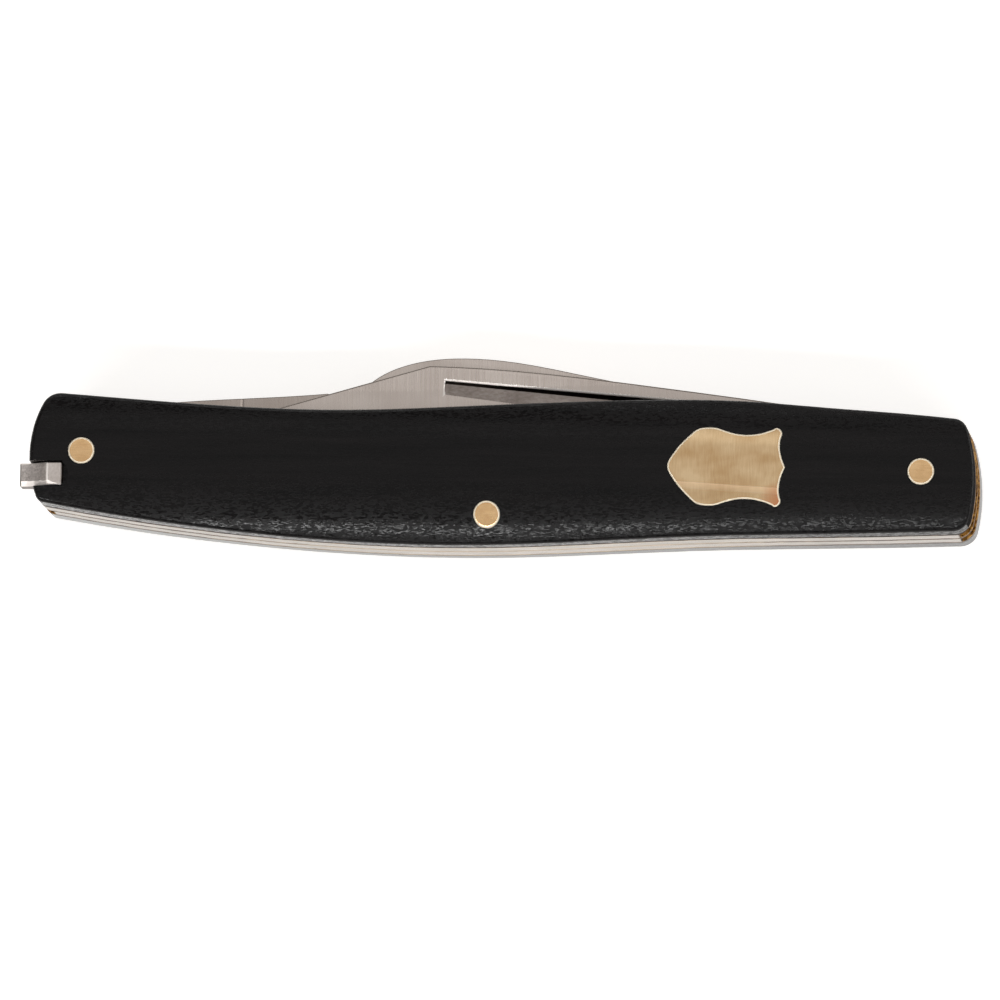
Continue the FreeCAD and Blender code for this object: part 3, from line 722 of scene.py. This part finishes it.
place = add(tree, "GeometryNodeInputPosition")
at_middle = add(tree, "GeometryNodeInputNamedAttribute", {"Name": "middle"}, data_type="FLOAT_VECTOR")
middle_away = away_from_line(at_middle.outputs[0])
past_flat = add(tree, "ShaderNodeMath", {0: middle_away, 1: CROWN_FLAT}, operation="SUBTRACT")
over = add(tree, "ShaderNodeMath", {0: past_flat.outputs[0], 1: 0}, operation="MAXIMUM")
over_squared = add(tree, "ShaderNodeMath", {0: over.outputs[0], 1: 2}, operation="POWER")
chord = add(tree, "ShaderNodeMath", {0: CROWN_R ** 2, 1: over_squared.outputs[0]}, operation="SUBTRACT")
up = add(tree, "ShaderNodeMath", {0: chord.outputs[0]}, operation="SQRT")
slope = add(tree, "ShaderNodeMath", {0: over.outputs[0], 1: up.outputs[0]}, operation="DIVIDE")
further = add(tree, "ShaderNodeMath", {0: middle_away, 1: away_from_line(place.outputs[0])},
              operation="SUBTRACT")
tilted = add(tree, "ShaderNodeMath", {0: further.outputs[0], 1: slope.outputs[0], 2: up.outputs[0]},
             operation="MULTIPLY_ADD")
crowned = add(tree, "ShaderNodeMath", {0: tilted.outputs[0], 1: top_z - mid_z - CROWN_R}, operation="ADD")
print("with the plane the tree has", len(tree.nodes), "nodes")

# %% The rim, the dome and both ends
RIM_STARTS = 0.01 * MM
ring = add(tree, "GeometryNodeInputNamedAttribute", {"Name": "ring"})
inner = add(tree, "ShaderNodeMath", {0: given["Radius"], 1: given["Rim"]}, operation="SUBTRACT")
in_rim = add(tree, "ShaderNodeMath", {0: ring.outputs[0], 1: inner.outputs[0]}, operation="SUBTRACT")
rim = add(tree, "ShaderNodeMath", {0: in_rim.outputs[0], 1: 0}, operation="MAXIMUM")
broken = add(tree, "ShaderNodeMath", {0: rim.outputs[0], 1: given["Rim slope"]}, operation="MULTIPLY")
ring_squared = add(tree, "ShaderNodeMath", {0: ring.outputs[0], 1: 2}, operation="POWER")
domed = add(tree, "ShaderNodeMath", {0: ring_squared.outputs[0], 1: given["Dome"]}, operation="MULTIPLY")
eased = add(tree, "ShaderNodeMath", {0: crowned.outputs[0], 1: broken.outputs[0]}, operation="SUBTRACT")
height = add(tree, "ShaderNodeMath", {0: eased.outputs[0], 1: domed.outputs[0]}, operation="SUBTRACT")
# The same height serves both ends, up from the middle or down from it
parts = add(tree, "ShaderNodeSeparateXYZ", {0: place.outputs[0]})
side = add(tree, "ShaderNodeMath", {0: parts.outputs["Z"], 1: mid_z}, operation="SUBTRACT")
sign = add(tree, "ShaderNodeMath", {0: side.outputs[0]}, operation="SIGN")
end = add(tree, "ShaderNodeMath", {0: sign.outputs[0], 1: height.outputs[0], 2: mid_z},
          operation="MULTIPLY_ADD")
ends = add(tree, "ShaderNodeCombineXYZ", {
    0: parts.outputs["X"], 1: parts.outputs["Y"], 2: end.outputs[0]})
shaped = add(tree, "GeometryNodeSetPosition", {"Geometry": solid.outputs[0], "Position": ends.outputs[0]})
smooth = add(tree, "GeometryNodeSetShadeSmooth", {"Geometry": shaped.outputs[0]})
finished = add(tree, "GeometryNodeSetMaterial", {
    "Geometry": smooth.outputs[0], "Material": given["Finish"]})
# The rim takes the near-white finish, a painted highlight
on_rim = add(tree, "FunctionNodeCompare", {0: rim.outputs[0], 1: RIM_STARTS}, operation="GREATER_THAN")
rimmed = add(tree, "GeometryNodeSetMaterial", {
    "Geometry": finished.outputs[0], "Selection": on_rim.outputs[0], "Material": given["Rim highlight finish"]})
add(tree, "NodeGroupOutput", {"Geometry": rimmed.outputs[0]})
print("with the rims and ends it has", len(tree.nodes), "nodes")

# %% Make the pins
maker = pins.modifiers.new("flush pins", "NODES")
maker.node_group = tree
for item in tree.interface.items_tree:
    if item.name in PIN_INPUTS:
        maker[item.identifier] = PIN_INPUTS[item.name][1]
graph = bpy.context.evaluated_depsgraph_get()
pin_mesh = bpy.data.meshes.new_from_object(pins.evaluated_get(graph))
pins.modifiers.clear()
pins.data = pin_mesh
put_on(pins, *PINNED)
print("three pins with", len(pins.data.polygons), "faces,",
      sum(face.material_index == 1 for face in pins.data.polygons), "of them on the rims and walls")

# %% [markdown]
# ## The crest
# The crest is cut from brass sheet, let into the scale and ground down with it. Its outline is read
# from the CAD crest's floor and drawn in by a hairline, so that a dark line of wood shows round it.
# Then it is cut into strips along the handle, which bend by the crown's rules, and its rim is broken
# by a file and painted near white as a highlight: that is the thin bright line that follows its edge.

# %% Outline of the crest


def floor_outline(node):
    """A node's lowest face, as the ordered points of its outline."""
    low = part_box(node)[0].z
    shape = bmesh.new()
    shape.from_mesh(frame["nodes"][node].data)
    bmesh.ops.remove_doubles(shape, verts=shape.verts, dist=WELD)
    faces = {f for f in shape.faces if all(abs(v.co.z - low) < WELD for v in f.verts)}
    rim_edges = [e for e in shape.edges if sum(f in faces for f in e.link_faces) == 1
                 and all(abs(v.co.z - low) < WELD for v in e.verts)]
    after = {}
    for edge in rim_edges:
        for one, other in (edge.verts, reversed(edge.verts)):
            after.setdefault(one, []).append(other)
    start = rim_edges[0].verts[0]
    path, last, here = [start.co.copy()], start, after[start][0]
    while here is not start:
        path.append(here.co.copy())
        last, here = here, next(v for v in after[here] if v is not last)
    shape.free()
    return path


crest_outline = floor_outline("shield")
print("the crest's outline has", len(crest_outline), "points")

# %% Cut the crest's sheet
HAIRLINE = 0.08 * MM
RIM = 0.16 * MM
STRIP = 0.25 * MM
shape = bmesh.new()
face = shape.faces.new([shape.verts.new((p.x, p.y, 0)) for p in crest_outline])
gap = bmesh.ops.inset_region(shape, faces=[face], thickness=HAIRLINE, use_boundary=True)["faces"]
bmesh.ops.delete(shape, geom=gap, context="FACES")
bmesh.ops.inset_region(shape, faces=list(shape.faces), thickness=RIM, use_boundary=True)
for face in shape.faces:
    face.material_index = int(any(e.is_boundary for e in face.edges))
crest_middle = centre_of("shield")
steps = int((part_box("shield")[1].y - crest_middle.y) / STRIP)
for step in range(-steps, steps + 1):
    cut = crest_middle + across * step * STRIP
    cut_through(shape, (cut.x, cut.y, 0), across)
print("the sheet is cut into", len(shape.faces), "faces")

# %% Bend the crest into the crown
RIM_DROP = 0.05 * MM
CREST_SHARP = math.radians(10)
edge_verts = {v for e in shape.edges if e.is_boundary for v in e.verts}
for vert in shape.verts:
    vert.co.z = crown(vert.co) - roll_drop(vert.co) - (RIM_DROP if vert in edge_verts else 0)
open_edges = [e for e in shape.edges if e.is_boundary]
for item in bmesh.ops.extrude_edge_only(shape, edges=open_edges)["geom"]:
    if isinstance(item, bmesh.types.BMVert):
        item.co.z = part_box("shield")[0].z
bmesh.ops.holes_fill(shape, edges=[e for e in shape.edges if e.is_boundary])
bmesh.ops.recalc_face_normals(shape, faces=shape.faces)
crest_mesh = bpy.data.meshes.new("crest")
shape.to_mesh(crest_mesh)
shape.free()
for face in crest_mesh.polygons:
    face.use_smooth = True
crest_mesh.set_sharp_from_angle(angle=CREST_SHARP)
crest_mesh.materials.append(finishes["shield"])
crest_mesh.materials.append(highlight_edge_brass)
crest = new_object("crest", crest_mesh)
put_on(crest, "shield")
print("crest with", len(crest_mesh.polygons), "faces")

# %% [markdown]
# ## Floor
# The knife lies on a light table, a plain pale floor that is lit from below as well, so its shadows
# stay faint. A white background alone would leave the knife floating, so the floor is a real plane,
# and its paper both scatters light and glows.

# %% Floor
FLOOR_SIZE = 6.0
FLOOR_GAP = 0.02 * MM
TABLE_GLOW = 0.67
half = FLOOR_SIZE / 2
floor_mesh = bpy.data.meshes.new("floor")
floor_mesh.from_pydata([(-half, -half, 0), (half, -half, 0), (half, half, 0), (-half, half, 0)], [],
                       [(0, 1, 2, 3)])
floor = new_object("floor", floor_mesh)
# Matt paper on a light table: it glows a little, so shadows stay faint
paper, paper_tree, _ = start_material("pale_paper")
matt = add(paper_tree, "ShaderNodeBsdfDiffuse", {"Color": linear("#d6d5d3")})
glow = add(paper_tree, "ShaderNodeEmission", {"Color": linear("#fffdfb"), "Strength": TABLE_GLOW})
both = add(paper_tree, "ShaderNodeAddShader", {0: matt.outputs[0], 1: glow.outputs[0]})
add(paper_tree, "ShaderNodeOutputMaterial", {"Surface": both.outputs[0]})
floor_mesh.materials.append(paper)
floor.location.z = cad_box[0].z - FLOOR_GAP
print("floor", FLOOR_SIZE, "m wide")

# %% [markdown]
# ## Soft light
# The black wood is dark because only a faint box hangs overhead. A narrow strip on the near side draws
# the sheen along the lower roll of the scale, and a dim panel below it widens the sheen. On the far
# side a panel, a strip and a box give the blades something to mirror, and boxes at both ends do so for
# the pick and the liners. Each light is placed by its angles as seen from the knife, because they
# decide where its reflection falls.

# %% Soft light
TARGET = Vector((-0.532, -3.1, 12.4)) * MM
AIR_GLOW = 0.2
# Azimuth and angle from the zenith in degrees, distance, width and depth in metres, and radiance
SOFT_BOXES = {
    "strip_near": (0, 33, 1.0, 1.6, 0.04, 28.0),
    "panel_near": (0, 46, 1.0, 1.6, 0.2, 1.1),
    "box_over": (180, 1, 2.0, 1.6, 1.7, 0.4),
    "panel_far": (180, 17.5, 2.0, 1.6, 0.46, 0.24),
    "strip_far": (180, 39, 1.2, 1.2, 0.05, 3.2),
    "box_far": (180, 62, 1.2, 1.6, 0.5, 1.6),
    "box_left": (-90, 55, 1.2, 0.8, 0.3, 0.5),
    "box_right": (90, 53, 1.2, 0.8, 0.3, 1.8),
    "panel_right": (90, 29, 1.6, 1.0, 0.4, 0.5),
}


def aim(made, away, right, distance):
    """Puts a light or the camera at a distance from the knife, looking back at it."""
    turned = Matrix((right, away.cross(right), away)).transposed()
    made.matrix_world = Matrix.Translation(TARGET + away * distance) @ turned.to_4x4()


for name, (azimuth, from_zenith, distance, width, depth, radiance) in SOFT_BOXES.items():
    light = bpy.data.lights.new(name, "AREA")
    light.shape = "RECTANGLE"
    light.size = width
    light.size_y = depth
    light.energy = radiance * math.pi * width * depth
    turn, lean = math.radians(azimuth), math.radians(from_zenith)
    away = Vector((math.sin(turn) * math.sin(lean), -math.cos(turn) * math.sin(lean), math.cos(lean)))
    aim(new_object(name, light), away, Vector((math.cos(turn), math.sin(turn), 0)), distance)
world = bpy.data.worlds.new("studio")
world.use_nodes = True
world.node_tree.nodes.clear()
air = add(world.node_tree, "ShaderNodeBackground", {"Color": linear("#fffefd"), "Strength": AIR_GLOW})
add(world.node_tree, "ShaderNodeOutputWorld", {"Surface": air.outputs[0]})
bpy.context.scene.world = world
bpy.context.scene.view_settings.view_transform = "Standard"
print(len(SOFT_BOXES), "soft lights")

# %% [markdown]
# ## Camera
# The camera stands where the photograph's did: almost straight above, a little to the right and to the
# near side, about 1.6 m away. Its angle of view is worked out from the width that the frame has at the
# knife, so a change of distance keeps the framing.

# %% Camera
DISTANCE = 1.625
FRAME_WIDTH = 102.577 * MM
to_camera = Vector((0.107, -0.147, 1.0)).normalized()
camera_data = bpy.data.cameras.new("camera")
camera_data.sensor_width = 36.0
camera_data.angle = 2 * math.atan(FRAME_WIDTH / 2 / DISTANCE)
camera_data.clip_start = 0.05
camera_data.clip_end = 50.0
camera = new_object("camera", camera_data)
aim(camera, to_camera, (Vector((1, 0, 0)) - to_camera * to_camera.x).normalized(), DISTANCE)
bpy.context.scene.camera = camera
print("camera", round(DISTANCE, 2), "m away, lens", round(camera_data.lens), "mm")

# %% [markdown]
# ## Last update
# Last, the view layer is brought up to date.

# %% Finish
bpy.context.view_layer.update()
